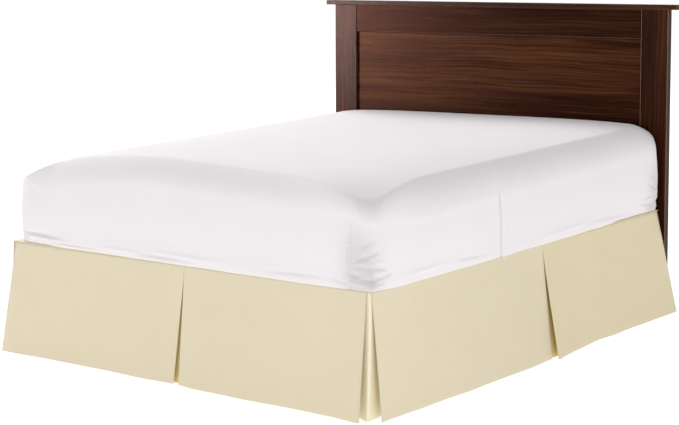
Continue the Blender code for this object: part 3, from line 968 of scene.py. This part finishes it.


# how far the sheet stands out at a place on the mattress's sides, and how much painted shade its folds and
# the corner's seam put there;
# seam is the way past the corner's seam
def sheetRelief(side, along, z, seam):
    up = min(1.0, max(0.0, (z - underZ) / mattress["sideHeight"]))
    phase = sheet["phase"][side]
    high, fast = sheet["broadWave"]
    relief = high * sin(along * fast + phase) * sin(pi * up)
    high, fast, middle, width = sheet["smallWave"]
    relief += high * sin(along * fast + 2.3 * phase) * bell(z - middle, width)
    high, fast, middle, width = sheet["ripple"]
    shift, often = sheet["rippleShift"]
    ripple = sin(along * fast + shift * sin(along * often)) * sin(along * sheet["rippleSwell"] + phase)
    relief += high * ripple * bell(z - middle, width)
    folds = []
    for start, end, zStart, zEnd, width, depth in sheet["hemFolds"][side]:
        share = (along - start) / (end - start)
        if 0 < share < 1:
            folds.append(depth * sin(pi * share) * bell(z - blend(zStart, zEnd, share), width))
    endsAt, endsOver = sheet["creasesEnd"]
    fade = 1 - soft((z - endsAt) / endsOver)
    for place, lean, width, depth in sheet["creases"][side]:
        folds.append(depth * fade * bell(along - place - lean * up, width))
    depth, width = sheet["seamLine"]
    folds.append(depth * fade * bell(seam, width))
    high, before, width = sheet["gathers"]
    fast, shift, swell = sheet["gatherWaves"]
    gathers = sin(z * fast + 2 * sin(z * shift)) * sin(z * swell + 1)
    folds.append(high * gathers * fade * bell(seam + before, width))
    for first, last, width, depth in sheet["puckers"]:
        away = lineDistance((seam, z), first, last)
        if away < 3 * width:
            folds.append(depth * bell(away, width))
    # painted shade on the gathered cloth beside a corner's seam
    share, past, width, endsAt, endsOver = sheet["paintedCornerShade"]
    paintedCornerShade = share * bell(seam - past, width) * (1 - soft((z - endsAt) / endsOver))
    # painted shade in the troughs of the folds
    deep = sum(max(0.0, -fold) for fold in folds) / sheet["fullShade"]
    return relief + sum(folds), min(1.0, paintedCornerShade + deep)


def topRelief(x, y):
    high, fastAcross, fastAlong = sheet["topWave"]
    relief = high * sin(x * fastAcross + 1.2) * sin(y * fastAlong + 0.4)
    for first, last, width, depth in sheet["topDents"]:
        relief += depth * bell(lineDistance((x, y), first, last), width)
    sideEnd, footEnd, headEnd, softly = sheet["topEnds"]
    edge = min(sideEnd - abs(x), y - footEnd, headEnd - y)
    return relief * soft(edge / softly)


# rows of points from the underside's edge up to the top's edge, and what belongs to them
def mattressPoints():
    rings = mattressRings()
    outlines = [mattressOutline(rolled, inset) for rolled, inset, _, _, _ in rings]
    count = len(outlines[0])
    plain = mattressOutline(0, 0)
    lengths = [0.0]
    for c in range(count):
        after = plain[(c + 1) % count]
        lengths.append(lengths[-1] + hypot(after[0] - plain[c][0], after[1] - plain[c][1]))
    sideCounts = [len([p for p in plain if p[3] == name]) for name, _, _, _ in mattressSides]
    cornerAt = [sum(sideCounts[:i]) for i in range(4)]

    # the way along the edge to the nearest corner's seam, counted towards the long side
    def seamPlace(c):
        ways = [lengths[c] - lengths[corner] for corner in cornerAt] + [lengths[c] - lengths[-1]]
        nearest = min(range(5), key=lambda i: abs(ways[i]))
        past = ways[nearest] if nearest in (1, 3) else -ways[nearest]
        return past + sheet["seamShift"] if nearest == 1 else past

    seams = [seamPlace(c) for c in range(count)]
    points = []
    foldShades = []
    profile = [0.0]
    edgeOut, edgeUp = mattress["hangRows"][-1]
    for step, ((rolled, inset, share, over, tilt), outline) in enumerate(zip(rings, outlines)):
        row = []
        rowShades = []
        for c, (x, y, facing, side, roll) in enumerate(outline):
            top = mattressTop(x, y)
            along = x if side in ("foot", "head") else y - bed["footY"]
            hang = readTable(mattress["hang"][side], along)
            # the low edge comes out past the deck's edge first, and hangs down from there
            outward = soft(hang / mattress["hangStep"])
            down = soft(hang / mattress["hangStep"] - 1)
            # at the foot's right it is drawn out to the deck's corner
            square = 1 / max(abs(facing[0]), abs(facing[1])) if x > 0 and y < 0 else 1.0
            toCorner = mattress["footCorners"][1][0] * (square - 1)
            low = underZ + blend(mattress["lowEdge"], edgeUp - hang, down)
            high = top - roll
            if share == 0:
                rowOut, rowUp = mattress["hangRows"][step]
                out = outward * (rowOut * square + inset) + toCorner
                z = underZ + blend(over, rowUp - hang if step else 0.0, down)
            elif share < 1:
                z = blend(low, high, share)
                out = (outward * edgeOut * square + toCorner) * bell(z - low, mattress["flare"])
            else:
                z = top - roll * (1 - sin(tilt))
                out = 0.0
            relief, deep = (0.0, 0.0) if side == "head" else sheetRelief(side, along, z, seams[c])
            relief *= cos(tilt)
            rowShades.append(deep * cos(tilt))
            out += relief * cos(tilt)
            x += out * facing[0]
            y += out * facing[1]
            row.append(Vector((x, min(y, headLimit), z + relief * sin(tilt))))
        if points:
            profile.append(profile[-1] + (row[cornerAt[0]] - points[-1][cornerAt[0]]).length)
        points.append(row)
        foldShades.append(rowShades)
    return points, foldShades, lengths, profile, sideCounts, cornerAt


def makeMattress():
    points, foldShades, lengths, profile, sideCounts, cornerAt = mattressPoints()
    count = len(points[0])
    bm, addPoint, addFace = clothMesh()
    rows = [[addPoint(*pair) for pair in zip(*row)] for row in zip(points, foldShades)]
    for r in range(len(rows) - 1):
        for c in range(count):
            d = (c + 1) % count
            verts = [rows[r][c], rows[r][d], rows[r + 1][d], rows[r + 1][c]]
            addFace(verts, [(lengths[c], profile[r]), (lengths[c + 1], profile[r]),
                            (lengths[c + 1], profile[r + 1]), (lengths[c], profile[r + 1])])

    # the top and the underside are patches stretched between the four sides of a ring
    def fillPatch(ring, height, upward):
        across, deep = sideCounts[:2]
        patch = [[None] * (across + 1) for _ in range(deep + 1)]
        for i in range(across + 1):
            patch[0][i] = ring[i]
            patch[deep][i] = ring[cornerAt[3] - i]
        for j in range(deep + 1):
            patch[j][across] = ring[cornerAt[1] + j]
            patch[j][0] = ring[(count - j) % count]
        fromLeft = sharesOf([v.co.x for v in patch[0]])
        fromFoot = sharesOf([row[across].co.y for row in patch])
        cornerPoints = [patch[0][0].co, patch[0][across].co, patch[deep][0].co, patch[deep][across].co]
        for j in range(1, deep):
            for i in range(1, across):
                s, t = fromLeft[i], fromFoot[j]
                lines = patch[0][i].co * (1 - t) + patch[deep][i].co * t
                lines += patch[j][0].co * (1 - s) + patch[j][across].co * s
                corners = cornerPoints[0] * (1 - s) * (1 - t) + cornerPoints[1] * s * (1 - t)
                corners += cornerPoints[2] * (1 - s) * t + cornerPoints[3] * s * t
                spot = lines - corners
                patch[j][i] = addPoint((spot.x, spot.y, height(spot.x, spot.y)))
        for j in range(deep):
            for i in range(across):
                verts = [patch[j][i], patch[j][i + 1], patch[j + 1][i + 1], patch[j + 1][i]]
                if not upward:
                    verts.reverse()
                addFace(verts, [(v.co.x, v.co.y) for v in verts])

    fillPatch(rows[-1], lambda x, y: mattressTop(x, y) + topRelief(x, y), True)
    fillPatch(rows[0], lambda x, y: underZ, False)
    return newPiece("mattress_in_sheet", bm, sheetCotton)


mattressPiece = makeMattress()
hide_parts("mattress")
print("bed skirt: mattress made,", len(mattressPiece.data.polygons), "faces")

# studio
studio = {
    "floor": (0.40, 0.40, 0.40),
    "floorGlow": 0.86,  # the floor shines white, so that it shows no shadows
    "skyHigh": 0.33,
    "skyLow": 1.38,
    "horizon": 0.55,  # how high the low sky's light fades into the high sky's
    # name, place, where it aims, size, power, whether it lights the cloth or only shines on the wood
    "lights": [
        ("rear_left_light", (-8.0, 4.0, 9.0), (0.0, 0.0, 0.6), (6.2, 6.2), 1088.0, True),
        ("left_light", (-10.0, -1.2, 5.8), (0.0, 0.0, 0.6), (5.0, 5.0), 287.0, True),
        ("front_left_light", (-5.1, -4.6, 1.1), (-0.6, 0.95, 0.9), (0.5, 1.4), 330.0, False),
        ("front_right_light", (3.6, -2.7, 0.9), (0.75, -0.4, 0.4), (1.5, 1.5), 18.0, True),
    ],
}


def makeStudio():
    bpy.ops.object.select_all(action="DESELECT")
    bpy.ops.mesh.primitive_plane_add(size=400.0, location=(0, 0, -0.0005))
    floor = bpy.context.active_object
    floor.name = "studio_floor"
    finish = Finish("pale_floor")
    cloud = finish.noise(finish.placeFrom("Object"), 0.8, 3.0)
    colour = finish.mixColours(cloud, studio["floor"], tuple(c * 0.98 for c in studio["floor"]))
    finish.set(Base_Color=colour, Roughness=0.9, Specular_IOR_Level=0.0,
               Emission_Color=(1.0, 1.0, 1.0), Emission_Strength=studio["floorGlow"])
    floor.data.materials.append(finish.material)

    world = bpy.data.worlds.new("studio")
    world.use_nodes = True
    nodes, links = world.node_tree.nodes, world.node_tree.links
    spot = nodes.new("ShaderNodeTexCoord")
    part = nodes.new("ShaderNodeSeparateXYZ")
    ramp = nodes.new("ShaderNodeMapRange")
    for name, key in (("From Max", "horizon"), ("To Min", "skyLow"), ("To Max", "skyHigh")):
        ramp.inputs[name].default_value = studio[key]
    links.new(spot.outputs["Generated"], part.inputs[0])
    links.new(part.outputs["Z"], ramp.inputs["Value"])
    nodes["Background"].inputs["Color"].default_value = (1.0, 1.0, 1.0, 1.0)
    links.new(ramp.outputs["Result"], nodes["Background"].inputs["Strength"])
    scene.world = world


def softbox(name, place, aim, size, power, onCloth):
    light = bpy.data.lights.new(name, "AREA")
    light.shape = "RECTANGLE"
    light.size, light.size_y = size
    light.energy = power
    lamp = bpy.data.objects.new(name, light)
    lamp.location = place
    lamp.rotation_euler = (Vector(aim) - Vector(place)).to_track_quat("-Z", "Y").to_euler()
    lamp.visible_camera = False
    lamp.visible_diffuse = onCloth
    scene.collection.objects.link(lamp)


makeStudio()
for settings in studio["lights"]:
    softbox(*settings)

# camera
view = {
    "lens": 86.55,
    "azimuth": 36.2304,
    "down": 5.5482,
    "roll": -0.1745,
    "place": (3.4186, -4.7453, 1.3336),
    "shiftY": -0.1362,
    "farthest": 500.0,
}


def makeCamera():
    camera = bpy.data.cameras.new("photo_view")
    camera.lens = view["lens"]
    camera.sensor_fit = "HORIZONTAL"
    camera.shift_y = view["shiftY"]
    camera.clip_end = view["farthest"]
    azimuth, down, roll = (radians(view[key]) for key in ("azimuth", "down", "roll"))
    level = Vector((-sin(azimuth), cos(azimuth), 0.0))
    forward = level * cos(down) - Vector((0.0, 0.0, sin(down)))
    right = Vector((cos(azimuth), sin(azimuth), 0.0))
    up = right.cross(forward)
    rightRolled = right * cos(roll) + up * sin(roll)
    upRolled = up * cos(roll) - right * sin(roll)
    body = bpy.data.objects.new("photo_view", camera)
    scene.collection.objects.link(body)
    turn = Matrix((rightRolled, upRolled, -forward)).transposed()
    body.matrix_world = Matrix.Translation(view["place"]) @ turn.to_4x4()
    scene.camera = body


makeCamera()
scene.view_settings.view_transform = "Standard"
scene.view_settings.look = "None"
print("bed skirt: studio and camera set")
